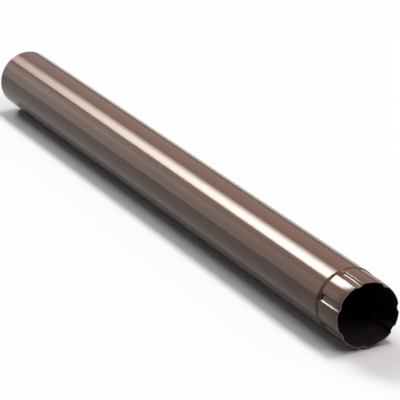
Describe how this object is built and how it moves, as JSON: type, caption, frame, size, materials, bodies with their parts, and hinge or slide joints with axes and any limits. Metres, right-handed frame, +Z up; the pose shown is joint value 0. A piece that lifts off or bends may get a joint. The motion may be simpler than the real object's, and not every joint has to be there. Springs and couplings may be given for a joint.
{
  "type": "steel downpipe",
  "caption": "Straight round rainwater downpipe of coated steel sheet with a lengthwise lock seam, a plain end, and a drawn-in fluted spigot that slips into the next pipe.",
  "frame": {"origin": "middle of the pipe's length, on the ground below its axis, as the pipe lies", "axes": "+X along the pipe towards the spigot, +Z up"},
  "size_m": [1.25, 0.1, 0.1],
  "materials": {
    "coated_steel": "glossy brown polyester coating on galvanised steel sheet"
  },
  "bodies": {
    "root": {"downpipe": "coated_steel"}
  },
  "joints": []
}
